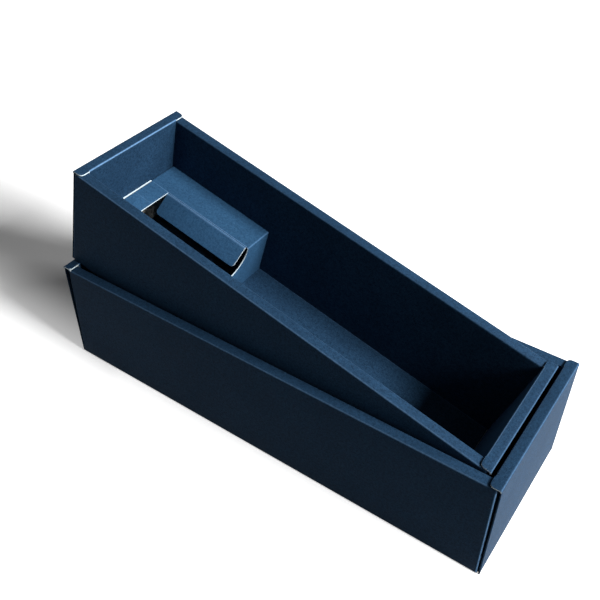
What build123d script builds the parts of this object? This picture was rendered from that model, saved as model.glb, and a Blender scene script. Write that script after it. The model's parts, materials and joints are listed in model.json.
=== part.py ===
from build123d import *
import math
import os

# Wine gift box folded from card: a lid tray that stands open side up, a base tray that
# leans in it with one end on the lid's rim, and a neck holder that stands in the base tray.
# Each tray is one creased sheet with hollow double walls. Its panels are separate solids
# that meet face to face at the folds, and each folded edge belongs to one panel.
# Lengths are millimetres. X runs along the box, Y away from the front and Z up.
# The origin is the middle of the lid tray's underside.

os.makedirs("parts", exist_ok=True)

# Card
board = 1.0
fold_inner = 0.4
fold_flat = 0.6
fit_gap = 0.3

# Lid tray, outside sizes
lid_length = 360.0
lid_width = 125.0
lid_height = 89.0

# Features that both trays share
rim_width = 8.0
ear_gap = 0.5
ear_radius = 3.0
end_wall_slant = 4.0
tuck_flap_depth = 40.0
lock_tab_width = 40.0
lock_tab_shy = 0.2
floor_flap_gap = 1.0

# Base tray, outside sizes: it goes in between the lid tray's inner walls
side_clearance = 1.5
end_clearance = 3.0
base_length = lid_length - 2 * (rim_width + end_clearance)
base_width = lid_width - 2 * (rim_width + side_clearance)
base_height = 89.0

# How far each side wall stops short of the tray's ends: at the floor, and at the rim
lid_left_gaps = (1.4, 5.5)
lid_right_gaps = (2.0, 2.6)
base_left_gaps = (1.4, 1.6)
base_right_gaps = (2.0, 2.0)

# Where the base tray leans
base_end_gap = 2.5

# Neck holder, with heights above the base tray's own underside
holder_height = 44.5
holder_length = 98.2
holder_end_gap = fit_gap
neck_opening_width = 38.0
tongue_length = 18.3
notch_floor_height = 24.0
neck_flap_corner = 3.0
neck_flap_droop = 45.0
neck_flap_tip_gap = 1.0

fold_outer = fold_inner + board
fold_leg = fold_outer + fold_flat
floor_top = 2 * board


def along_x(sketch, low, high):
    """Extrude a sketch drawn in Y and Z from x = low to x = high."""
    plane = Plane(origin=(low, 0, 0), x_dir=(0, 1, 0), z_dir=(1, 0, 0))
    return extrude(plane * sketch, amount=high - low)


def along_y(sketch, low, high):
    """Extrude a sketch drawn in X and Z from y = low to y = high."""
    plane = Plane(origin=(0, high, 0), x_dir=(1, 0, 0), z_dir=(0, -1, 0))
    return extrude(plane * sketch, amount=high - low)


def along_z(sketch, low, high):
    """Extrude a sketch drawn in X and Y from z = low to z = high."""
    return extrude(Pos(0, 0, low) * sketch, amount=high - low)


def outline(*points):
    return make_face(Polyline(*points, close=True))


def rectangle(a_low, a_high, b_low, b_high):
    return outline((a_low, b_low), (a_high, b_low), (a_high, b_high), (a_low, b_high))


def rounded(sketch, corner, radius):
    """Round the one corner of a sketch that lies at the given point."""
    vertex = sketch.vertices().sort_by_distance((corner[0], corner[1], 0))[0]
    return fillet(vertex, radius)


def folded_section(corner, leg_a, foot_b, lean=0.0):
    """Section of a board folded once: one leg along the first axis, one along the second.

    corner is the outside of the fold. lean shifts the far end of the second leg.
    """
    a, b = corner
    inward_a = math.copysign(board, leg_a)
    inward_b = math.copysign(board, foot_b)
    section = outline(
        (a, b),
        (a + leg_a, b),
        (a + leg_a, b + inward_b),
        (a + inward_a, b + inward_b),
        (a + inward_a + lean, b + foot_b),
        (a + lean, b + foot_b),
    )
    section = rounded(section, (a, b), fold_outer)
    return rounded(section, (a + inward_a, b + inward_b), fold_inner)


def rim_section(outside, inside, top):
    """Section of a rim: a flat strip with a folded leg down each side."""
    step = math.copysign(board, inside - outside)
    low = top - fold_leg
    section = outline(
        (outside, low),
        (outside, top),
        (inside, top),
        (inside, low),
        (inside - step, low),
        (inside - step, top - board),
        (outside + step, top - board),
        (outside + step, low),
    )
    for side in (outside, inside):
        section = rounded(section, (side, top), fold_outer)
    for side in (outside + step, inside - step):
        section = rounded(section, (side, top - board), fold_inner)
    return section


def tray(length, width, height, left_gaps, right_gaps):
    """Panels of one tray, by name, with the middle of its underside at the origin."""
    half_length = length / 2
    half_width = width / 2
    inner_x = half_length - rim_width
    inner_y = half_width - rim_width
    end_wall_foot = inner_x - end_wall_slant
    side_top = height - board - ear_gap
    flap_bottom = board + fit_gap
    flap_top = height - board - fit_gap
    panels = {}

    def side_end(gaps, z):
        """How far from the middle a side wall reaches at height z."""
        at_floor, at_rim = gaps
        return half_length - at_floor - (at_rim - at_floor) * z / height

    def floor_panel():
        flat = rectangle(
            -half_length + fold_leg, half_length - fold_leg, -half_width + fold_leg, half_width - fold_leg
        )
        panel = along_z(flat, 0, board)
        slot_half = lock_tab_width / 2 + fit_gap
        for side in (-1, 1):
            near_edge = end_wall_foot - fit_gap
            far_edge = end_wall_foot + board + fit_gap
            slot = rectangle(side * near_edge, side * far_edge, -slot_half, slot_half)
            panel -= along_z(slot, 0, board)
        return panel

    def side_outer_wall():
        """Front outer wall, folded from the floor, with its ends cut for the tuck flaps."""
        top = side_top - fold_leg
        bent = along_x(folded_section((-half_width, 0), fold_leg, top), -half_length, half_length)
        right = [side_end(right_gaps, z) for z in (0, flap_bottom, top)]
        left = [-side_end(left_gaps, z) for z in (0, flap_bottom, top)]
        shape = outline(
            (left[0], 0),
            (right[0], 0),
            (right[1], flap_bottom),
            (right[1] - fold_leg, flap_bottom),
            (right[2] - fold_leg, top),
            (left[2] + fold_leg, top),
            (left[1] + fold_leg, flap_bottom),
            (left[1], flap_bottom),
        )
        return bent & along_y(shape, -half_width, -half_width + fold_leg)

    def side_rim():
        low = -side_end(left_gaps, flap_top) + fold_leg
        high = side_end(right_gaps, flap_top) - fold_leg
        return along_x(rim_section(-half_width, -inner_y, side_top), low, high)

    def side_inner_wall():
        face = rectangle(-inner_y - board, -inner_y, board + fold_leg, side_top - fold_leg)
        return along_x(face, -inner_x - board, inner_x + board)

    def floor_flap():
        """Flap at the foot of the inner side wall, lying on the floor up to the middle."""
        reach = inner_y + board - floor_flap_gap / 2
        half = end_wall_foot - fit_gap
        return along_x(folded_section((-inner_y - board, board), reach, fold_leg), -half, half)

    def tuck_flap(side, gaps):
        """Flap folded from the end of the front outer wall into the hollow end wall."""
        start = side * side_end(gaps, flap_bottom)
        shift = side * side_end(gaps, flap_top) - start
        section = folded_section((start, -half_width), -side * fold_leg, tuck_flap_depth)
        rise = flap_top - flap_bottom
        path = Vector(shift, 0, rise)
        return extrude(Pos(0, 0, flap_bottom) * section, amount=path.length, dir=path.normalized())

    def end_outer_wall(side):
        """End wall folded from the floor, with plain ends that cover the side walls' ends."""
        x = side * half_length
        top = height - fold_leg
        bend_end = half_width - fold_leg
        wall = along_y(folded_section((x, 0), -side * fold_leg, top), -bend_end, bend_end)
        plain = rectangle(x, x - side * board, 0, top)
        wall += along_y(plain, -half_width, -bend_end)
        wall += along_y(plain, bend_end, half_width)
        return wall

    def end_rim(side):
        """End rim with an ear over each side rim; the ears' inner corners are rounded."""
        outside = side * half_length
        inside = side * inner_x
        ear = folded_section((outside, height), inside - outside, -fold_leg)
        inner_half = inner_y - fit_gap
        rim = along_y(rim_section(outside, inside, height), -inner_half, inner_half)
        rim += along_y(ear, -half_width, -inner_half)
        rim += along_y(ear, inner_half, half_width)
        plan = rectangle(inside, outside, -half_width, half_width)
        for y in (-half_width, half_width):
            plan = rounded(plan, (inside, y), ear_radius)
        return rim & along_z(plan, height - fold_leg, height)

    def end_inner_wall(side):
        """Inner end wall: it leans in towards its foot, where a tab locks in the floor's slot."""
        top_x = side * inner_x
        foot_x = side * end_wall_foot
        thick = side * board
        lean = outline(
            (foot_x, board),
            (foot_x + thick, board),
            (top_x + thick, height - fold_leg),
            (top_x, height - fold_leg),
        )
        inner_half = inner_y - fit_gap
        wall = along_y(lean, -inner_half, inner_half)
        tab = rectangle(foot_x, foot_x + thick, lock_tab_shy, board)
        return wall + along_y(tab, -lock_tab_width / 2, lock_tab_width / 2)

    panels["floor"] = floor_panel()
    front = {
        "outer_wall": side_outer_wall(),
        "rim": side_rim(),
        "inner_wall": side_inner_wall(),
        "floor_flap": floor_flap(),
        "left_tuck_flap": tuck_flap(-1, left_gaps),
        "right_tuck_flap": tuck_flap(1, right_gaps),
    }
    for name, panel in front.items():
        panels["near_" + name] = panel
        panels["far_" + name] = mirror(panel, about=Plane.XZ)
    for end, side in (("left", -1), ("right", 1)):
        panels[end + "_outer_wall"] = end_outer_wall(side)
        panels[end + "_rim"] = end_rim(side)
        panels[end + "_inner_wall"] = end_inner_wall(side)
    return panels


# Neck holder, in the base tray's own frame
cavity_half_width = base_width / 2 - rim_width
holder_half_width = cavity_half_width - fit_gap
opening_half_width = neck_opening_width / 2
wall_run = base_height - fold_leg - board
wall_lean = end_wall_slant / wall_run
wall_at_holder_top = -base_length / 2 + rim_width + wall_lean * (base_height - fold_leg - holder_height)
holder_left = wall_at_holder_top + holder_end_gap
holder_front = holder_left + holder_length
opening_left = holder_left + tongue_length
hinge_height = holder_height - board / 2
hinge_offset = opening_half_width - board / 2 - fit_gap


def both_sides(sketch):
    """Extrude an X and Z sketch over the holder's two shoulders, beside the neck opening."""
    near = along_y(sketch, -holder_half_width, -opening_half_width)
    far = along_y(sketch, opening_half_width, holder_half_width)
    return near + far


def neck_holder_top():
    """Shoulders on both sides of the neck opening, joined by a tongue behind it."""
    shoulder_left = holder_left + fold_leg
    shoulder_right = holder_front - fold_leg
    tongue_left = holder_left + board + fit_gap
    plan = rectangle(shoulder_left, shoulder_right, -holder_half_width, holder_half_width)
    plan += rectangle(tongue_left, shoulder_left, -opening_half_width, opening_half_width)
    plan -= rectangle(opening_left, holder_front, -opening_half_width, opening_half_width)
    return along_z(plan, holder_height - board, holder_height)


def neck_holder_front():
    """Front panel, folded down from the shoulders, with a round notch for the neck."""
    drop = holder_height - floor_top
    bend = folded_section((holder_front, holder_height), -fold_leg, -drop)
    plate = rectangle(holder_front - board, holder_front, floor_top, holder_height)
    panel = both_sides(bend) + along_y(plate, -opening_half_width, opening_half_width)
    round_centre = notch_floor_height + opening_half_width
    notch = Pos(0, round_centre) * Circle(opening_half_width)
    notch += rectangle(-opening_half_width, opening_half_width, round_centre, holder_height)
    return panel - along_x(notch, holder_front - board, holder_front)


def neck_holder_end():
    """End panel that leans like the tray's end wall; beside the tongue its top edge is a cut."""
    drop = holder_height - floor_top
    lean = drop * wall_lean
    bend = folded_section((holder_left, holder_height), fold_leg, -drop, lean)
    middle = outline(
        (holder_left + lean, floor_top),
        (holder_left + lean + board, floor_top),
        (holder_left + board, holder_height),
        (holder_left, holder_height),
    )
    return both_sides(bend) + along_y(middle, -opening_half_width, opening_half_width)


def neck_flap(side):
    """Flap on one side of the neck opening, drooping from its crease towards the middle."""
    back = opening_left + fit_gap
    front = holder_front - fold_leg - fit_gap
    width = hinge_offset - neck_flap_tip_gap / 2
    plan = rectangle(back, front, 0, width)
    for x in (back, front):
        plan = rounded(plan, (x, width), neck_flap_corner)
    flap = along_z(plan, -board / 2, board / 2)
    crease = Plane(origin=(back, 0, 0), x_dir=(0, 1, 0), z_dir=(1, 0, 0)) * Circle(board / 2)
    flap += extrude(crease, amount=front - back)
    flap = Rot(-neck_flap_droop, 0, 0) * flap
    flap = Pos(0, -hinge_offset, hinge_height) * flap
    return flap if side < 0 else mirror(flap, about=Plane.XZ)


def base_lean():
    """Tilt of the base tray in radians, and the x of its lower right edge.

    That edge stands on the lid's floor. The underside rests on the round inner edge of the
    lid's left rim, and the upper right edge stays base_end_gap from the lid's right wall.
    """
    upper_right = lid_length / 2 - rim_width - base_end_gap
    round_x = -lid_length / 2 + rim_width - fold_outer
    round_z = lid_height - fold_outer
    stand = floor_top + fit_gap
    low, high = 0.0, math.pi / 4
    for _ in range(60):
        tilt = (low + high) / 2
        lower_right = upper_right - base_height * math.sin(tilt)
        rise = (round_x - lower_right) * math.sin(tilt) + (round_z - stand) * math.cos(tilt)
        if rise + fold_outer + fit_gap > 0:
            low = tilt
        else:
            high = tilt
    return tilt, lower_right


base_tilt, base_lower_right = base_lean()
base_place = (
    Pos(base_lower_right, 0, floor_top + fit_gap)
    * Rot(0, math.degrees(base_tilt), 0)
    * Pos(-base_length / 2, 0, 0)
)

nodes = {}
for name, panel in tray(lid_length, lid_width, lid_height, lid_left_gaps, lid_right_gaps).items():
    nodes["lid_" + name] = panel
for name, panel in tray(base_length, base_width, base_height, base_left_gaps, base_right_gaps).items():
    nodes["base_" + name] = base_place * panel
nodes["neck_holder_top"] = base_place * neck_holder_top()
nodes["neck_holder_front"] = base_place * neck_holder_front()
nodes["neck_holder_end"] = base_place * neck_holder_end()
nodes["neck_flap_near"] = base_place * neck_flap(-1)
nodes["neck_flap_far"] = base_place * neck_flap(1)

for name, piece in nodes.items():
    export_step(piece, f"parts/{name}.step")

hinge = base_place * Pos((opening_left + holder_front) / 2, -hinge_offset, hinge_height)
print("tilt in degrees", round(math.degrees(base_tilt), 4))
print("base tray's lower right edge at x", round(base_lower_right, 3))
print("near neck flap's crease, middle", [round(v, 3) for v in hinge.position])
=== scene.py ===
import json
import math

import bmesh
import bpy
from mathutils import Matrix, Vector
from mathutils.bvhtree import BVHTree


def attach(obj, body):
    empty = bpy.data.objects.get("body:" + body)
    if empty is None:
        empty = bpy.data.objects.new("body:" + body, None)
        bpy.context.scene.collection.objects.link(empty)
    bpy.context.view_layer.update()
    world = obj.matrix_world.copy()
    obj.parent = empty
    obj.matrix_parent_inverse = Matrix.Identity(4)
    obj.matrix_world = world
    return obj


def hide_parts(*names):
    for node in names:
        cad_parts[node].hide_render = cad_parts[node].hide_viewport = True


# Wine gift box of folded navy card: a lid tray, a base tray that leans in it, and a neck holder.
# Every panel starts as a flat sheet of board, coloured side up. It is cut and folded there,
# then stood up in its tray and given the board's thickness on its bare side.
# Lengths are metres. A sheet's folds run along its u, which is x while it is flat.

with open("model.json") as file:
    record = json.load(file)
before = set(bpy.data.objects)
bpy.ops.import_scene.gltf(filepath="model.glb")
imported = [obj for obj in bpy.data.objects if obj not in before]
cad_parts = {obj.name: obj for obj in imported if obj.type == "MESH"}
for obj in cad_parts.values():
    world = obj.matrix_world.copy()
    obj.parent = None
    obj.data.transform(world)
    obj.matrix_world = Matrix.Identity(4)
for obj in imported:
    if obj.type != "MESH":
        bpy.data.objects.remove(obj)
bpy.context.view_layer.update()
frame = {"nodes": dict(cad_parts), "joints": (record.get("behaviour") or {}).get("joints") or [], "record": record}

mm = 0.001
X = Vector((1, 0, 0))
Y = Vector((0, 1, 0))
Z = Vector((0, 0, 1))

# Board and folds
fold_slack = 0.4 * mm
fold_steps = 8
fold_turn = math.pi / 2 / fold_steps
fit_gap = 0.3 * mm
edge_softness = 0.25 * mm
edge_steps = 3
turn_in = 12 * mm
end_step = 0.7 * mm
pressed_half = 0.35 * mm
# Width of a strip cut beside the neck opening's creases. It holds their line of rubbed paper and painted
# highlight.
wear_and_highlight_strip = 0.8 * mm

# How far the flat panels swell, and how close together the cuts are that let them
side_wall_bow = 0.5 * mm
wall_bow = 0.4 * mm
floor_flap_bow = 0.25 * mm
wall_spacing = 18 * mm
floor_flap_spacing = 30 * mm

# How much the paper is lightened, from 0 to 1. Along folds and creases this is rubbed paper together with a
# painted highlight on the ridge; along pressed lines it is rubbed paper.
fold_wear_and_highlight = 0.35
inner_fold_wear_and_highlight = 0.1
end_fold_wear_and_highlight = 1.0
pressed_wear = 0.3
crease_wear_and_highlight = 0.6

# Ears, notch and flaps, and the rounding where the flaps' creases are. flap_roundness counts in boards.
ear_radius = 3.0 * mm
flap_corner = 3.0 * mm
corner_steps = 8
notch_steps = 24
flap_droop = math.radians(45)
shoulder_softness = 0.3 * mm
crease_steps = 6
flap_roundness = 0.49

# What counts as the same place, as touching, as sharp, as a slit and, in boards, as long or near a slit
tiny = 0.001 * mm
touch = 0.06 * mm
sharp_angle = math.radians(35)
sharpest_bend = math.radians(120)
long_edge = 2
slit_reach = 1.5

# Floor. It doesn't glow where the shadow lies, left of the box along y = shadow_middle.
# The three pairs are where its glow starts and is full: beside the shadow, in x, and far from the box.
floor_half = 3.0
floor_drop = 0.1 * mm
floor_glow = 0.55
floor_bounce = (0.08, 0.08, 0.08)
shadow_middle = 0.02
shadow_side = (0.02, 0.11)
shadow_end = (-0.22, -0.12)
far_off_range = (0.6, 1.8)

# Softboxes: place, aim, width, height and watts
right_softbox = ((3.20, 0.18, 2.21), (0, 0, 0.05), 1.2, 1.1, 280)
back_softbox = ((0.72, 0.66, 0.62), (0.14, 0, 0.08), 0.3, 0.25, 5.5)
world_light = 0.08

# Camera, as the photograph was taken
camera_place = Vector((240.6, -351.6, 467.9)) * mm
camera_heading = math.radians(34.761)
camera_pitch = math.radians(40.829)
camera_roll = math.radians(0.151)
camera_sensor = 36.0
camera_lens = 47.94
camera_nearest = 0.01
camera_farthest = 20


# Trays and their measures, read from the frame

def points_in(node, place):
    """A CAD node's vertices in a tray's own frame. place stands that frame in the shared one."""
    back = place.inverted()
    return [back @ v.co for v in frame["nodes"][node].data.vertices]


def box_of(points):
    low = Vector(min(p[k] for p in points) for k in range(3))
    high = Vector(max(p[k] for p in points) for k in range(3))
    return low, high


class Tray:
    """One tray: its body, its own frame, and the measures that its panels share."""

    def __init__(self, prefix, body, tilt):
        turn = Matrix.Rotation(tilt, 4, "Y")
        low, high = box_of(points_in(prefix + "floor", turn))
        middle = Vector(((low.x + high.x) / 2, (low.y + high.y) / 2, low.z))
        self.prefix = prefix
        self.body = body
        self.place = turn @ Matrix.Translation(middle)
        floor_high = self.box("floor")[1]
        self.board = floor_high.z
        self.fold = self.board + fold_slack
        self.half_length = self.box("right_outer_wall")[1].x
        self.half_width = self.box("right_outer_wall")[1].y
        self.leg = self.half_length - floor_high.x
        self.height = self.box("right_rim")[1].z
        self.side_top = self.box("near_rim")[1].z
        self.inner_x = self.box("right_rim")[0].x
        self.inner_y = -self.box("near_rim")[1].y
        self.end_half = self.box("right_inner_wall")[1].y
        self.end_foot = self.box("right_inner_wall")[0].x
        self.flap_bottom = self.box("near_right_tuck_flap")[0].z
        self.flap_top = self.box("near_right_tuck_flap")[1].z
        tab = [p.y for p in points_in(prefix + "right_inner_wall", self.place) if p.z < self.board / 2]
        self.tab_half = max(tab)

    def box(self, name):
        return box_of(points_in(self.prefix + name, self.place))

    def side_end(self, side, z):
        """Where the near wall ends at height z, on the left (-1) or the right (1)."""
        at_floor = self.box("near_outer_wall")[(side + 1) // 2].x
        at_top = self.box("near_rim")[(side + 1) // 2].x + side * self.leg
        return at_floor + (at_top - at_floor) * z / self.flap_top


# Sheet work

def sheet(u_low, u_high, v_low, v_high, bm=None):
    """A flat rectangle of board in x and y, coloured side up, new or added to a mesh."""
    bm = bm or bmesh.new()
    middle = Vector(((u_low + u_high) / 2, (v_low + v_high) / 2, 0))
    size = Matrix.Diagonal(((u_high - u_low) / 2, (v_high - v_low) / 2, 1, 1))
    place = Matrix.Translation(middle) @ size
    bmesh.ops.create_grid(bm, x_segments=1, y_segments=1, size=1, matrix=place)
    return bm


def cut(bm, point, normal, clear=False, where=None):
    """Cut the faces along a plane, and clear what lies beyond it if asked."""
    faces = [f for f in bm.faces if where is None or where(f.calc_center_median())]
    edges = {e for f in faces for e in f.edges}
    verts = {v for f in faces for v in f.verts}
    geom = [*faces, *edges, *verts]
    bmesh.ops.bisect_plane(bm, geom=geom, dist=tiny, plane_co=point, plane_no=normal, clear_outer=clear)


def drop(bm, where):
    """Take away the faces whose middle is there."""
    bmesh.ops.delete(bm, geom=[f for f in bm.faces if where(f.calc_center_median())], context="FACES")


def wear_and_highlight_layer(bm):
    """The mesh's attribute that says how much the paper is lightened at a fold: rubbed paper together with a
    painted highlight. The facing reads it.
    """
    return bm.verts.layers.float.get("fold") or bm.verts.layers.float.new("fold")


def fold_length(radius):
    """Length of sheet that a square fold takes, measured on the coloured face."""
    return fold_steps * 2 * radius * math.sin(fold_turn / 2)


def fold(bm, at, side, radius, over=False, wear_and_highlight_amount=fold_wear_and_highlight):
    """Fold what lies beyond y = at, on the given side, away from the coloured face or over it.

    radius is the coloured face's. The last argument says how much the fold's ridge is lightened: rubbed paper
    together with a painted highlight.
    """
    chord = 2 * radius * math.sin(fold_turn / 2)
    lines = [at + side * chord * k for k in range(fold_steps + 1)]
    for line in lines:
        cut(bm, (0, line, 0), Y)
    wear_and_highlight = wear_and_highlight_layer(bm)
    flat = {v: v.co.y for v in bm.verts}
    for v in bm.verts:
        share = side * (flat[v] - at) / (chord * fold_steps)
        if 0 < share < 1:
            v[wear_and_highlight] = max(v[wear_and_highlight], wear_and_highlight_amount * math.sin(math.pi * share) ** 4)
    direction = side if over else -side
    for k, line in reversed(list(enumerate(lines))):
        turn = fold_turn if 0 < k < fold_steps else fold_turn / 2
        beyond = [v for v in bm.verts if side * (flat[v] - line) > tiny]
        rotation = Matrix.Rotation(direction * turn, 3, "X")
        bmesh.ops.rotate(bm, verts=beyond, cent=(0, line, 0), matrix=rotation)


def press(bm, at, where):
    """Mark a straight line at y = at, where the paper was pressed or scored."""
    for line in (at - pressed_half, at, at + pressed_half):
        cut(bm, (0, line, 0), Y, where=where)
    wear_and_highlight = wear_and_highlight_layer(bm)
    for v in bm.verts:
        if abs(v.co.y - at) < tiny and where(v.co):
            v[wear_and_highlight] = pressed_wear


def stand(bm, u_axis, v_axis, origin=(0, 0, 0)):
    """Stand a sheet in its tray. Its coloured side then faces along u_axis x v_axis."""
    turn = Matrix((u_axis, v_axis, u_axis.cross(v_axis))).transposed().to_4x4()
    bmesh.ops.transform(bm, matrix=Matrix.Translation(origin) @ turn, verts=bm.verts)


def mirror_y(bm):
    """Turn a near panel into the far one."""
    bmesh.ops.scale(bm, vec=(1, -1, 1), verts=bm.verts)
    bmesh.ops.reverse_faces(bm, faces=bm.faces)


def bow(bm, u_range, v_range, amount, spacing=wall_spacing):
    """Let the flat part of a panel swell a little, most in its middle and not at its edges."""
    for axis, (low, high) in ((X, u_range), (Y, v_range)):
        count = max(2, round((high - low) / spacing))
        for k in range(count + 1):
            cut(bm, axis * (low + (high - low) * k / count), axis)
    for v in bm.verts:
        along = (v.co.x - u_range[0]) / (u_range[1] - u_range[0])
        up = (v.co.y - v_range[0]) / (v_range[1] - v_range[0])
        if 0 < along < 1 and 0 < up < 1:
            swell = math.sin(math.pi * along) ** 2 * math.sin(math.pi * up) ** 2
            v.co.z += amount * swell


def shift(bm, where, move):
    """Move the vertices that are there by what move says for each place."""
    for v in bm.verts:
        if where(v.co):
            v.co += move(v.co)


def round_corners(bm, corners, radius):
    """Round these corners of a flat sheet."""
    bmesh.ops.bevel(
        bm, geom=corners, offset=radius, affect="VERTICES", segments=corner_steps, profile=0.5, material=-1
    )


def extend_plain_edges(bm, level, move, where):
    """Carry a standing panel's edge at a level straight up or down by move, where it has no fold."""
    plain = []
    for e in bm.edges:
        first, last = (v.co for v in e.verts)
        at_level = abs(first.z - level) < tiny and abs(last.z - level) < tiny
        if e.is_boundary and at_level and where((first + last) / 2):
            plain.append(e)
    made = bmesh.ops.extrude_edge_only(bm, edges=plain)["geom"]
    verts = [g for g in made if isinstance(g, bmesh.types.BMVert)]
    bmesh.ops.translate(bm, vec=(0, 0, move), verts=verts)


# Panels of a tray. Each is made for the near side, or for the end that side names: -1 left, 1 right.

def floor_panel(t):
    """Floor with a slot near each end, for the end wall's lock tab."""
    x, y = t.half_length - t.leg, t.half_width - t.leg
    bm = sheet(-x, x, -y, y)
    slot_low, slot_high = t.end_foot - fit_gap, t.end_foot + t.board + fit_gap
    slot_half = t.tab_half + fit_gap
    for at in (-slot_high, -slot_low, slot_low, slot_high):
        cut(bm, (at, 0, 0), X)
    for at in (-slot_half, slot_half):
        cut(bm, (0, at, 0), Y)
    drop(bm, lambda c: slot_low < abs(c.x) < slot_high and abs(c.y) < slot_half)
    stand(bm, X, -Y)
    return bm


def side_outer_wall(t):
    """Outer wall with its foot under the tray. Its ends are cut back for the tuck flaps."""
    top = t.side_top - t.leg
    wall_start = t.leg - t.fold + fold_length(t.fold)
    wall_end = wall_start + top - t.fold
    bm = sheet(-t.half_length, t.half_length, 0, wall_end)
    bow(bm, (-t.half_length, t.half_length), (wall_start, wall_end), side_wall_bow)
    fold(bm, t.leg - t.fold, 1, t.fold)
    stand(bm, X, -Y, (0, t.leg - t.half_width, 0))
    cut(bm, (0, 0, t.flap_bottom), Z)
    for side in (-1, 1):
        start = t.side_end(side, 0)
        slope = t.side_end(side, 1) - start
        outwards = Vector((1, 0, -slope)) * side
        cut(bm, (start, 0, 0), outwards, True, lambda c: c.z < t.flap_bottom)
        cut(bm, (start - side * t.leg, 0, 0), outwards, True, lambda c: c.z > t.flap_bottom)
    return bm


def side_rim(t):
    """Side rim, folded down outside and inside over the hollow wall."""
    low, high = t.box("near_rim")
    tail = fold_length(t.fold) + t.leg - t.fold
    outer, inner = -t.half_width + t.fold, -t.inner_y - t.fold
    bm = sheet(low.x, high.x, outer - tail, inner + tail)
    fold(bm, outer, -1, t.fold)
    fold(bm, inner, 1, t.fold, wear_and_highlight_amount=inner_fold_wear_and_highlight)
    stand(bm, X, Y, (0, 0, t.side_top))
    return bm


def side_inner_wall(t):
    low, high = t.box("near_inner_wall")
    bm = sheet(low.x, high.x, -high.z, -low.z)
    bow(bm, (low.x, high.x), (-high.z, -low.z), wall_bow)
    stand(bm, X, -Z, (0, high.y, 0))
    return bm


def floor_flap(t):
    """Flap at the inner wall's foot: its fold turns over the coloured face, onto the floor."""
    low, high = t.box("near_floor_flap")
    tail = fold_length(fold_slack) + t.leg - t.board - fold_slack
    crease = -t.inner_y + fold_slack
    bm = sheet(low.x, high.x, crease - tail, high.y)
    bow(bm, (low.x, high.x), (crease, high.y), floor_flap_bow, floor_flap_spacing)
    fold(bm, crease, -1, fold_slack, over=True)
    stand(bm, X, Y, (0, 0, 2 * t.board))
    return bm


def tuck_flap(t, side):
    """Flap folded from the near wall's end into the hollow end wall."""
    depth = t.box("near_right_tuck_flap")[1].y + t.half_width
    start = side * t.side_end(side, t.flap_bottom)
    slope = t.side_end(side, 1) - t.side_end(side, 0)
    end = start - t.fold + fold_length(t.fold) + depth - t.fold
    bm = sheet(-t.flap_top, -t.flap_bottom, start - t.leg, end)
    fold(bm, start - t.fold, 1, t.fold, wear_and_highlight_amount=end_fold_wear_and_highlight)
    stand(bm, -side * Z, side * X, (0, -t.half_width, 0))
    if side < 0:
        bmesh.ops.translate(bm, vec=(0, 0, t.flap_top + t.flap_bottom), verts=bm.verts)
    shift(bm, lambda c: True, lambda c: X * slope * (c.z - t.flap_bottom))
    return bm


def end_outer_wall(t, side):
    """End wall with its foot under the tray. Its plain ends cover the side walls' ends."""
    crease = t.half_length - t.fold
    wall_start = crease + fold_length(t.fold)
    wall_end = wall_start + t.height - t.leg - t.fold
    bend_half = t.half_width - t.leg
    half = t.half_width - end_step
    bm = sheet(-half, half, t.half_length - t.leg, wall_end)
    bow(bm, (-half, half), (wall_start, wall_end), wall_bow)
    for at in (bend_half, half - turn_in):
        cut(bm, (at, 0, 0), X)
        cut(bm, (-at, 0, 0), X)
    cut(bm, (0, wall_start, 0), Y)
    drop(bm, lambda c: abs(c.x) > bend_half and c.y < wall_start)
    fold(bm, crease, 1, t.fold)
    stand(bm, side * Y, side * X)
    extend_plain_edges(bm, t.fold, -t.fold, lambda c: abs(c.y) > bend_half)
    return bm


def end_rim(t, side):
    """End rim between two ears. Only the part between the side walls is folded down inside."""
    outer, inner = -t.half_length + t.fold, -t.inner_x - t.fold
    tail = fold_length(t.fold) + t.leg - t.fold
    bm = sheet(-t.end_half, t.end_half, outer - tail, inner + tail)
    fold(bm, inner, 1, t.fold, wear_and_highlight_amount=end_fold_wear_and_highlight)
    for low, high in ((-t.half_width, -t.end_half), (t.end_half, t.half_width)):
        sheet(low, high, outer - tail, -t.inner_x, bm)
    ear_ends = [v for v in bm.verts if abs(abs(v.co.x) - t.half_width) < tiny]
    round_corners(bm, [v for v in ear_ends if abs(v.co.y + t.inner_x) < tiny], ear_radius)
    cut(bm, (0, inner, 0), Y, where=lambda c: abs(c.x) > t.end_half)
    fold(bm, outer, -1, t.fold)
    bmesh.ops.remove_doubles(bm, verts=bm.verts, dist=tiny)
    stand(bm, side * Y, -side * X, (0, 0, t.height))
    return bm


def end_inner_wall(t, side):
    """Inner end wall: it leans in towards its foot, and its tab locks in the floor's slot."""
    low, high = t.box("right_inner_wall")
    bm = sheet(-t.end_half, t.end_half, t.board, high.z)
    bow(bm, (-t.end_half, t.end_half), (t.board, high.z), wall_bow)
    for at in (-t.tab_half, t.tab_half):
        cut(bm, (at, 0, 0), X)
    stand(bm, -side * Y, Z, (side * t.end_foot, 0, 0))
    extend_plain_edges(bm, t.board, low.z - t.board, lambda c: abs(c.y) < t.tab_half)
    lean = side * (t.inner_x - t.end_foot) / (high.z - t.board)
    shift(bm, lambda c: c.z > t.board, lambda c: X * lean * (c.z - t.board))
    return bm


# Neck holder, in the base tray's frame

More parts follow.
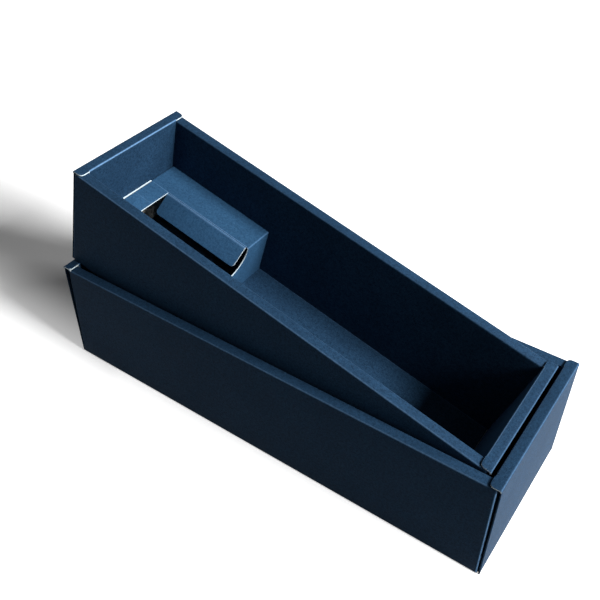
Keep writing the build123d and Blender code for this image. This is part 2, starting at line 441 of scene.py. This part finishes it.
class Holder:
    """Measures of the neck holder, read from its nodes in the base tray's frame."""

    def __init__(self, t):
        top_low, top_high = box_of(points_in("neck_holder_top", t.place))
        front_points = points_in("neck_holder_front", t.place)
        front_low, front_high = box_of(front_points)
        end_low, end_high = box_of(points_in("neck_holder_end", t.place))
        flap_low, flap_high = box_of(points_in("neck_flap_near", t.place))
        self.tray = t
        self.height = top_high.z
        self.foot = front_low.z
        self.left = end_low.x
        self.end_foot = end_high.x
        self.front = front_high.x
        self.half_width = top_high.y
        self.tongue_left = top_low.x
        self.shoulder_left = self.left + t.leg
        self.shoulder_right = top_high.x
        self.opening_left = flap_low.x - fit_gap
        self.opening_half = fit_gap - flap_low.y
        self.flap_low = flap_low
        self.flap_high = flap_high
        inside = self.opening_half - touch
        notch = [p for p in front_points if abs(p.y) < inside and p.z > self.foot + touch]
        lowest = min(notch, key=lambda p: p.z)
        self.notch_centre = lowest.z + math.sqrt(self.opening_half**2 - lowest.y**2)
        crease = next(j for j in frame["joints"] if j["name"] == "near_flap_crease")
        self.crease = t.place.inverted() @ Vector(crease["pos_m"])


def holder_top(h):
    """Shoulders beside the opening, and the tongue at its left with its pressed lines."""
    bm = sheet(h.tongue_left, h.shoulder_right, -h.half_width, h.half_width)
    for at in (h.shoulder_left, h.opening_left):
        cut(bm, (at, 0, 0), X)
    for at in (h.opening_half, h.opening_half + wear_and_highlight_strip):
        cut(bm, (0, at, 0), Y)
        cut(bm, (0, -at, 0), Y)
    drop(bm, lambda c: abs(c.y) < h.opening_half and c.x > h.opening_left)
    drop(bm, lambda c: abs(c.y) > h.opening_half and c.x < h.shoulder_left)
    for at in (-h.opening_half, 0, h.opening_half):
        press(bm, at, lambda c: c.x < h.opening_left)
    stand(bm, X, Y, (0, 0, h.height))
    return bm


def holder_front(h):
    """Front panel, folded down from the shoulders, with a round notch for the neck."""
    t = h.tray
    crease = h.front - t.fold
    end = crease + fold_length(t.fold) + h.height - t.fold - h.foot
    bm = sheet(-h.half_width, h.half_width, h.front - t.leg, end)
    for at in (-h.opening_half, h.opening_half):
        cut(bm, (at, 0, 0), X)
    fold(bm, crease, 1, t.fold)
    stand(bm, -Y, X, (0, 0, h.height))
    cut(bm, (0, 0, h.notch_centre), Z)
    drop(bm, lambda c: abs(c.y) < h.opening_half and c.z > h.notch_centre)
    for k in range(1, notch_steps):
        across = h.opening_half * math.cos(math.pi * k / notch_steps)
        cut(bm, (0, across, 0), Y, where=lambda c: abs(c.y) < h.opening_half)

    def on_opening_edge(c):
        return abs(c.z - h.notch_centre) < tiny and abs(c.y) < h.opening_half - tiny

    shift(bm, on_opening_edge, lambda c: -Z * math.sqrt(h.opening_half**2 - c.y**2))
    return bm


def holder_end(h):
    """End panel, folded down from the shoulders and leaning like the tray's end wall.

    Between the shoulders, at the tongue's end, its top is a cut edge.
    """
    t = h.tray
    crease = -h.left - t.fold
    wall_start = crease + fold_length(t.fold)
    bm = sheet(-h.half_width, h.half_width, -h.shoulder_left, wall_start + h.height - t.fold - h.foot)
    for at in (-h.opening_half, h.opening_half):
        cut(bm, (at, 0, 0), X)
    cut(bm, (0, wall_start, 0), Y)
    drop(bm, lambda c: abs(c.x) < h.opening_half and c.y < wall_start)
    fold(bm, crease, 1, t.fold)
    stand(bm, Y, -X, (0, 0, h.height))
    extend_plain_edges(bm, h.height - t.fold, t.fold, lambda c: abs(c.y) < h.opening_half)
    lean = (h.end_foot - t.board - h.left) / (h.height - h.foot)
    shift(bm, lambda c: c.z < h.height - t.fold + tiny, lambda c: X * lean * (h.height - c.z))
    return bm


def neck_flap(h, side):
    """Flap in the neck opening, drooping as its CAD node does. finish_panel rounds its crease."""
    half = h.tray.board / 2
    reach = (h.flap_high.y - h.crease.y - half * math.sin(flap_droop)) / math.cos(flap_droop)
    bm = sheet(h.flap_low.x, h.flap_high.x, -half, reach)
    round_corners(bm, [v for v in bm.verts if v.co.y > 0], flap_corner)
    cut(bm, (0, half + wear_and_highlight_strip, 0), Y)
    to_crease = Matrix.Translation((0, h.crease.y, h.crease.z))
    turn = Matrix.Rotation(-flap_droop, 4, "X")
    lift = Matrix.Translation((0, 0, half))
    bmesh.ops.transform(bm, matrix=to_crease @ turn @ lift, verts=bm.verts)
    if side > 0:
        mirror_y(bm)
    return bm


# Finish

CARD, BARE, EDGE = 0, 1, 2


def neighbours(node, body):
    """Search tree of the other CAD nodes of the same body."""
    verts, faces = [], []
    for name in frame["record"]["behaviour"]["bodies"][body]:
        if name == node:
            continue
        mesh = frame["nodes"][name].data
        start = len(verts)
        verts.extend(v.co.copy() for v in mesh.vertices)
        faces.extend([start + k for k in p.vertices] for p in mesh.polygons)
    return BVHTree.FromPolygons(verts, faces) if faces else None


def meets(near, centre, normal):
    """True where an edge face lies against a neighbour: found near it, or just beyond it."""
    beyond = near.ray_cast(centre - normal * touch, normal, 2 * touch)[0]
    return beyond is not None or near.find_nearest(centre)[3] < touch


def new_piece(name, bm, materials):
    """An object at the origin, unturned, with this mesh and these materials."""
    mesh = bpy.data.meshes.new(name)
    bm.to_mesh(mesh)
    bm.free()
    for material in materials:
        mesh.materials.append(material)
    piece = bpy.data.objects.new(name, mesh)
    bpy.context.scene.collection.objects.link(piece)
    return piece


def thickened(piece, board):
    """The piece's sheet with the board's thickness on its bare side, as a mesh to work on."""
    thicken = piece.modifiers.new("board", "SOLIDIFY")
    thicken.thickness = board
    thicken.offset = -1
    thicken.use_even_offset = True
    thicken.use_quality_normals = True
    thicken.material_offset = BARE
    thicken.material_offset_rim = EDGE
    bpy.context.view_layer.update()
    solid = bpy.data.meshes.new_from_object(piece.evaluated_get(bpy.context.evaluated_depsgraph_get()))
    piece.modifiers.clear()
    bm = bmesh.new()
    bm.from_mesh(solid)
    bpy.data.meshes.remove(solid)
    return bm


def mark_uncut_edges(bm, near, back, board, is_crease):
    """Take the white off the edge where the next panel carries on, and where it is a flap's crease.

    near finds the next panels, and back leads from the shared frame to the tray's own. Returns the
    crease's long edges.
    """
    creased = []
    for face in bm.faces:
        if face.material_index != EDGE:
            continue
        centre = face.calc_center_median()
        if near and meets(near, centre, face.normal):
            face.material_index = BARE
        elif is_crease and is_crease(back @ centre):
            face.material_index = CARD
            creased += [e for e in face.edges if e.calc_length() > long_edge * board]
    return creased


def round_crease(bm, creased, radius, wear_and_highlight):
    """Round the edges of a crease and lighten the paper there: rubbed paper together with a painted highlight."""
    made = bmesh.ops.bevel(
        bm, geom=creased, offset=radius, affect="EDGES", segments=crease_steps, profile=0.5, material=-1
    )
    for v in made["verts"]:
        v[wear_and_highlight] = crease_wear_and_highlight


def soften_cut_edges(bm, board):
    """Round the cut edges a little, except at the ends of slits, where there is no room.

    The facing then covers the rounding beside it, all but the last step, which stays white.
    """
    slit_ends = [v.co for e in bm.edges if e.calc_face_angle(0) > sharpest_bend for v in e.verts]
    at_slit = {v for v in bm.verts if any((v.co - end).length < slit_reach * board for end in slit_ends)}
    edges = []
    for e in bm.edges:
        beside_cut = sum(f.material_index == EDGE for f in e.link_faces) == 1
        if beside_cut and e.calc_face_angle() > sharp_angle and not at_slit.intersection(e.verts):
            edges.append(e)
    made = bmesh.ops.bevel(
        bm, geom=edges, offset=edge_softness, affect="EDGES", segments=edge_steps, profile=0.5,
        material=EDGE, clamp_overlap=True
    )
    for _ in range(edge_steps - 1):
        facing_faces = {f for f in bm.faces if f.material_index == CARD}
        for face in made["faces"]:
            if any(facing_faces.intersection(e.link_faces) for e in face.edges):
                face.material_index = CARD


def cover_cut_edges(bm):
    """Draw the coloured facing round a wall's cut edges, where the photograph shows no white."""
    for face in bm.faces:
        if face.material_index == EDGE:
            face.material_index = CARD


def turn_facing_in(bm, back):
    """Turn an end wall's facing in behind its upright edges."""
    reach = max(abs((back @ v.co).y) for v in bm.verts) - turn_in
    for face in bm.faces:
        if abs((back @ face.calc_center_median()).y) > reach:
            face.material_index = CARD


def finish_panel(bm, node, body, place, board, is_crease=None, crease_radius=0.0):
    """Give a sheet its thickness, soften its cut edges and let it stand for its CAD node.

    Where the panel meets the next one of its sheet, its edge is no cut and stays as it is.
    is_crease says where an edge is folded paper, because a flap of another body carries on there.
    """
    bmesh.ops.transform(bm, matrix=place, verts=bm.verts)
    # The holder is faced with the navy card painted lighter, standing in for the brighter light it catches.
    facing = navy_card if body in ("lid_tray", "base_tray") else holder_card_painted_lighter
    piece = new_piece("card_" + node, bm, (facing, bare_card, cut_edge))
    bm = thickened(piece, board)
    wear_and_highlight = wear_and_highlight_layer(bm)
    for face in bm.faces:
        face.smooth = True
    back = place.inverted()
    creased = mark_uncut_edges(bm, neighbours(node, body), back, board, is_crease)
    if creased:
        round_crease(bm, creased, crease_radius, wear_and_highlight)
    soften_cut_edges(bm, board)
    if node.endswith("outer_wall"):
        cover_cut_edges(bm)
    if node.endswith(("left_outer_wall", "right_outer_wall")):
        turn_facing_in(bm, back)
    bm.to_mesh(piece.data)
    bm.free()
    piece.data.set_sharp_from_angle(angle=sharp_angle)
    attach(piece, body)
    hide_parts(node)


# Materials

def background_ray(tree):
    """1 for the rays that see the pale background, and 0 for other light.

    These are the camera's rays, and those from what shines or is clear.
    """
    ray = tree.nodes.new("ShaderNodeLightPath")
    seen = ray.outputs["Is Camera Ray"]
    for output in ("Is Glossy Ray", "Is Transmission Ray"):
        either = tree.nodes.new("ShaderNodeMath")
        either.operation = "MAXIMUM"
        tree.links.new(seen, either.inputs[0])
        tree.links.new(ray.outputs[output], either.inputs[1])
        seen = either.outputs["Value"]
    return seen


class Shader:
    """A node tree with short ways to add a node and to link it."""

    def __init__(self, name):
        self.material = bpy.data.materials.new(name)
        self.material.use_nodes = True
        self.tree = self.material.node_tree
        self.surface = self.tree.nodes["Principled BSDF"]
        self.place = self.add("ShaderNodeTexCoord").outputs["Object"]

    def add(self, kind, **settings):
        node = self.tree.nodes.new(kind)
        for name, value in settings.items():
            setattr(node, name, value)
        return node

    def link(self, source, target):
        self.tree.links.new(source, target)

    def noise(self, feature, detail=4.0, roughness=0.55, distortion=0.0):
        """Noise with features of about this length, in metres."""
        node = self.add("ShaderNodeTexNoise")
        node.inputs["Scale"].default_value = 1 / feature
        node.inputs["Detail"].default_value = detail
        node.inputs["Roughness"].default_value = roughness
        node.inputs["Distortion"].default_value = distortion
        self.link(self.place, node.inputs["Vector"])
        return node.outputs["Fac"]

    def spread(self, value, low, high, to_low=0.0, to_high=1.0):
        """Map a stretch of a value onto another range, smoothly and clamped."""
        node = self.add("ShaderNodeMapRange", interpolation_type="SMOOTHSTEP")
        numbers = {"From Min": low, "From Max": high, "To Min": to_low, "To Max": to_high}
        for name, number in numbers.items():
            node.inputs[name].default_value = number
        self.link(value, node.inputs["Value"])
        return node.outputs["Result"]

    def maths(self, operation, first, second):
        node = self.add("ShaderNodeMath", operation=operation)
        for k, value in enumerate((first, second)):
            if isinstance(value, (int, float)):
                node.inputs[k].default_value = value
            else:
                self.link(value, node.inputs[k])
        return node.outputs["Value"]

    def blend(self, share, first, second):
        """Mix two colours, each given as a colour or as another mix."""
        node = self.add("ShaderNodeMix", data_type="RGBA")
        self.link(share, node.inputs["Factor"])
        for name, colour in (("A", first), ("B", second)):
            socket = next(s for s in node.inputs if s.name == name and s.type == "RGBA")
            if isinstance(colour, tuple):
                socket.default_value = (*colour, 1)
            else:
                self.link(colour, socket)
        return next(s for s in node.outputs if s.type == "RGBA")

    def bump(self, height, distance, strength=1.0, under=None):
        node = self.add("ShaderNodeBump")
        node.inputs["Distance"].default_value = distance
        node.inputs["Strength"].default_value = strength
        self.link(height, node.inputs["Height"])
        if under is not None:
            self.link(under, node.inputs["Normal"])
        return node.outputs["Normal"]


def make_navy_card(name, dark, light, fibre_tint, fleck_tint, wear_and_highlight_tint=(0.15, 0.29, 0.50)):
    """Satin navy paper facing: short fibres, a soft mottle, light flecks, and lighter lines along the folds, which
    are rubbed paper together with a painted highlight.
    """
    s = Shader(name)
    fibres = s.noise(0.5 * mm, detail=6, roughness=0.65, distortion=0.8)
    mottle = s.noise(1.9 * mm, detail=5, roughness=0.7, distortion=0.3)
    cloud = s.noise(38 * mm, detail=3)
    colour = s.blend(s.spread(mottle, 0.36, 0.64), dark, light)
    colour = s.blend(s.spread(fibres, 0.42, 0.66, 0, 0.8), colour, fibre_tint)
    colour = s.blend(s.spread(cloud, 0.35, 0.7, 0, 0.25), colour, dark)
    flecks = s.spread(s.noise(0.55 * mm, detail=2, roughness=0.4), 0.68, 0.78, 0, 0.5)
    colour = s.blend(flecks, colour, fleck_tint)
    # Lighter lines along folds and creases: rubbed paper together with a painted highlight on the ridge.
    wear_and_highlight_mark = s.add("ShaderNodeAttribute", attribute_name="fold").outputs["Fac"]
    fold_speckle = s.spread(s.noise(1.3 * mm, detail=5, roughness=0.7), 0.38, 0.6, 0.6, 1.0)
    wear_and_highlight_share = s.maths("MULTIPLY", wear_and_highlight_mark, fold_speckle)
    colour = s.blend(wear_and_highlight_share, colour, wear_and_highlight_tint)
    s.link(colour, s.surface.inputs["Base Color"])
    roughness = s.spread(fibres, 0.2, 0.8, 0.50, 0.68)
    s.link(roughness, s.surface.inputs["Roughness"])
    s.surface.inputs["Specular IOR Level"].default_value = 0.0225
    s.surface.inputs["Specular Tint"].default_value = (1.0, 0.80, 0.67, 1)
    waves = s.bump(s.noise(26 * mm, detail=2), 0.35 * mm, 0.6)
    s.link(s.bump(fibres, 0.05 * mm, 0.7, waves), s.surface.inputs["Normal"])
    return s.material


def make_bare_card(dark=(0.46, 0.45, 0.41), light=(0.62, 0.61, 0.57), yellowed=(0.52, 0.50, 0.45)):
    """Off-white inner side of the board: grey fibres, a soft cloud and faint specks."""
    s = Shader("bare_card")
    fibres = s.noise(0.7 * mm, detail=6, roughness=0.7, distortion=1.2)
    cloud = s.noise(14 * mm, detail=4)
    colour = s.blend(s.spread(fibres, 0.35, 0.7), dark, light)
    colour = s.blend(s.spread(cloud, 0.4, 0.7, 0, 0.3), colour, yellowed)
    specks = s.spread(s.noise(0.9 * mm, detail=2), 0.74, 0.79, 0, 0.5)
    speck_grey = (0.26, 0.24, 0.21)
    colour = s.blend(specks, colour, speck_grey)
    s.link(colour, s.surface.inputs["Base Color"])
    s.link(s.spread(fibres, 0.2, 0.8, 0.78, 0.92), s.surface.inputs["Roughness"])
    s.surface.inputs["Specular IOR Level"].default_value = 0.25
    s.link(s.bump(fibres, 0.08 * mm, 0.8), s.surface.inputs["Normal"])
    return s.material


def make_cut_edge(dark=(0.58, 0.72, 0.80), light=(0.78, 0.89, 0.94), faint=(0.50, 0.58, 0.66)):
    """White core of the board where it is cut: short torn fibres and faint patches."""
    s = Shader("cut_edge")
    fibres = s.noise(0.25 * mm, detail=5, roughness=0.7, distortion=1.5)
    patches = s.noise(3.5 * mm, detail=3)
    colour = s.blend(s.spread(fibres, 0.3, 0.7), dark, light)
    colour = s.blend(s.spread(patches, 0.55, 0.75, 0, 0.35), colour, faint)
    s.link(colour, s.surface.inputs["Base Color"])
    s.link(s.spread(fibres, 0.2, 0.8, 0.75, 0.9), s.surface.inputs["Roughness"])
    s.surface.inputs["Specular IOR Level"].default_value = 0.3
    s.link(s.bump(fibres, 0.05 * mm, 0.8), s.surface.inputs["Normal"])
    return s.material


def make_floor_paper(dark=(0.92, 0.92, 0.92), light=(0.96, 0.96, 0.96)):
    """Pale paper that glows a little, so that it stays white, but not where the shadow lies."""
    s = Shader("floor_paper")
    tooth = s.noise(0.8 * mm, detail=4)
    pale = s.blend(s.spread(tooth, 0.3, 0.7), dark, light)
    seen = background_ray(s.tree)
    s.link(s.blend(seen, floor_bounce, pale), s.surface.inputs["Base Color"])
    s.surface.inputs["Roughness"].default_value = 0.9
    s.surface.inputs["Specular IOR Level"].default_value = 0.1
    split = s.add("ShaderNodeSeparateXYZ")
    s.link(s.place, split.inputs["Vector"])
    across = s.maths("ABSOLUTE", s.maths("SUBTRACT", split.outputs["Y"], shadow_middle), 0)
    beside = s.spread(across, *shadow_side, 0, floor_glow)
    in_front = s.spread(split.outputs["X"], *shadow_end, 0, floor_glow)
    distance = s.add("ShaderNodeVectorMath", operation="LENGTH")
    s.link(s.place, distance.inputs[0])
    far_off = s.spread(distance.outputs["Value"], *far_off_range)
    level = s.maths("MAXIMUM", s.maths("MAXIMUM", beside, in_front), far_off)
    glow = s.add("ShaderNodeEmission")
    s.link(s.maths("MULTIPLY", level, seen), glow.inputs["Strength"])
    both = s.add("ShaderNodeAddShader")
    s.link(s.surface.outputs[0], both.inputs[0])
    s.link(glow.outputs[0], both.inputs[1])
    s.link(both.outputs[0], s.tree.nodes["Material Output"].inputs["Surface"])
    return s.material


# Stage

def make_floor():
    bm = bmesh.new()
    bmesh.ops.create_grid(bm, x_segments=1, y_segments=1, size=floor_half)
    bmesh.ops.translate(bm, vec=(0, 0, -floor_drop), verts=bm.verts)
    floor = new_piece("floor", bm, [make_floor_paper()])


def make_softbox(name, place, aim, width, height, watts):
    light = bpy.data.lights.new(name, "AREA")
    light.shape = "RECTANGLE"
    light.size = width
    light.size_y = height
    light.energy = watts
    lamp = bpy.data.objects.new(name, light)
    bpy.context.scene.collection.objects.link(lamp)
    lamp.location = place
    lamp.rotation_euler = (Vector(aim) - Vector(place)).to_track_quat("-Z", "Y").to_euler()


def make_lights():
    make_softbox("right_softbox", *right_softbox)
    make_softbox("back_softbox", *back_softbox)
    world = bpy.data.worlds.new("studio")
    world.use_nodes = True
    background = world.node_tree.nodes["Background"]
    background.inputs["Color"].default_value = (1, 1, 1, 1)
    strength = world.node_tree.nodes.new("ShaderNodeMapRange")
    strength.inputs["To Min"].default_value = world_light
    strength.inputs["To Max"].default_value = 1.0
    world.node_tree.links.new(background_ray(world.node_tree), strength.inputs["Value"])
    world.node_tree.links.new(strength.outputs["Result"], background.inputs["Strength"])
    bpy.context.scene.world = world


def make_camera():
    data = bpy.data.cameras.new("camera")
    data.sensor_width = camera_sensor
    data.lens = camera_lens
    data.clip_start = camera_nearest
    data.clip_end = camera_farthest
    camera = bpy.data.objects.new("camera", data)
    bpy.context.scene.collection.objects.link(camera)
    look = Matrix.Rotation(camera_heading, 4, "Z") @ Matrix.Rotation(math.pi / 2 - camera_pitch, 4, "X")
    camera.matrix_world = Matrix.Translation(camera_place) @ look @ Matrix.Rotation(camera_roll, 4, "Z")
    bpy.context.scene.camera = camera


# Making

make_camera()
make_lights()
make_floor()
navy_card = make_navy_card(
    "navy_card", dark=(0.006, 0.018, 0.038), light=(0.014, 0.041, 0.084),
    fibre_tint=(0.027, 0.068, 0.130), fleck_tint=(0.08, 0.14, 0.24)
)
# The same navy card painted lighter for the neck holder, standing in for the brighter light it catches.
holder_card_painted_lighter = make_navy_card(
    "holder_card_painted_lighter", dark=(0.016, 0.050, 0.104), light=(0.028, 0.086, 0.172),
    fibre_tint=(0.042, 0.112, 0.212), fleck_tint=(0.10, 0.18, 0.28)
)
bare_card = make_bare_card()
cut_edge = make_cut_edge()

lift_axis = next(j["axis"] for j in frame["joints"] if j["name"] == "holder_lift")
tilt = math.atan2(lift_axis[0], lift_axis[2])
lid = Tray("lid_", "lid_tray", 0.0)
base = Tray("base_", "base_tray", tilt)

side_panels = {
    "outer_wall": side_outer_wall,
    "rim": side_rim,
    "inner_wall": side_inner_wall,
    "floor_flap": floor_flap,
    "left_tuck_flap": lambda t: tuck_flap(t, -1),
    "right_tuck_flap": lambda t: tuck_flap(t, 1),
}
end_panels = {"outer_wall": end_outer_wall, "rim": end_rim, "inner_wall": end_inner_wall}

for t in (lid, base):
    finish_panel(floor_panel(t), t.prefix + "floor", t.body, t.place, t.board)
    for name, make in side_panels.items():
        finish_panel(make(t), t.prefix + "near_" + name, t.body, t.place, t.board)
        far = make(t)
        mirror_y(far)
        finish_panel(far, t.prefix + "far_" + name, t.body, t.place, t.board)
    for name, make in end_panels.items():
        for end, side in (("left", -1), ("right", 1)):
            finish_panel(make(t, side), f"{t.prefix}{end}_{name}", t.body, t.place, t.board)

holder = Holder(base)


def beside_flap(c):
    """True on the shoulders' long edges, where the flaps' creases are."""
    return abs(abs(c.y) - holder.opening_half) < touch and c.x > holder.opening_left + touch


def at_crease(c):
    """True on a flap's rounded edge, which is the one nearer its shoulder."""
    return abs(c.y) > -holder.crease.y


finish_panel(
    holder_top(holder), "neck_holder_top", "neck_holder", base.place, base.board, beside_flap,
    shoulder_softness
)
finish_panel(holder_front(holder), "neck_holder_front", "neck_holder", base.place, base.board)
finish_panel(holder_end(holder), "neck_holder_end", "neck_holder", base.place, base.board)
for name, body, side in (("neck_flap_near", "near_flap", -1), ("neck_flap_far", "far_flap", 1)):
    flap = neck_flap(holder, side)
    finish_panel(flap, name, body, base.place, base.board, at_crease, flap_roundness * base.board)

bpy.context.scene.view_settings.view_transform = "Standard"
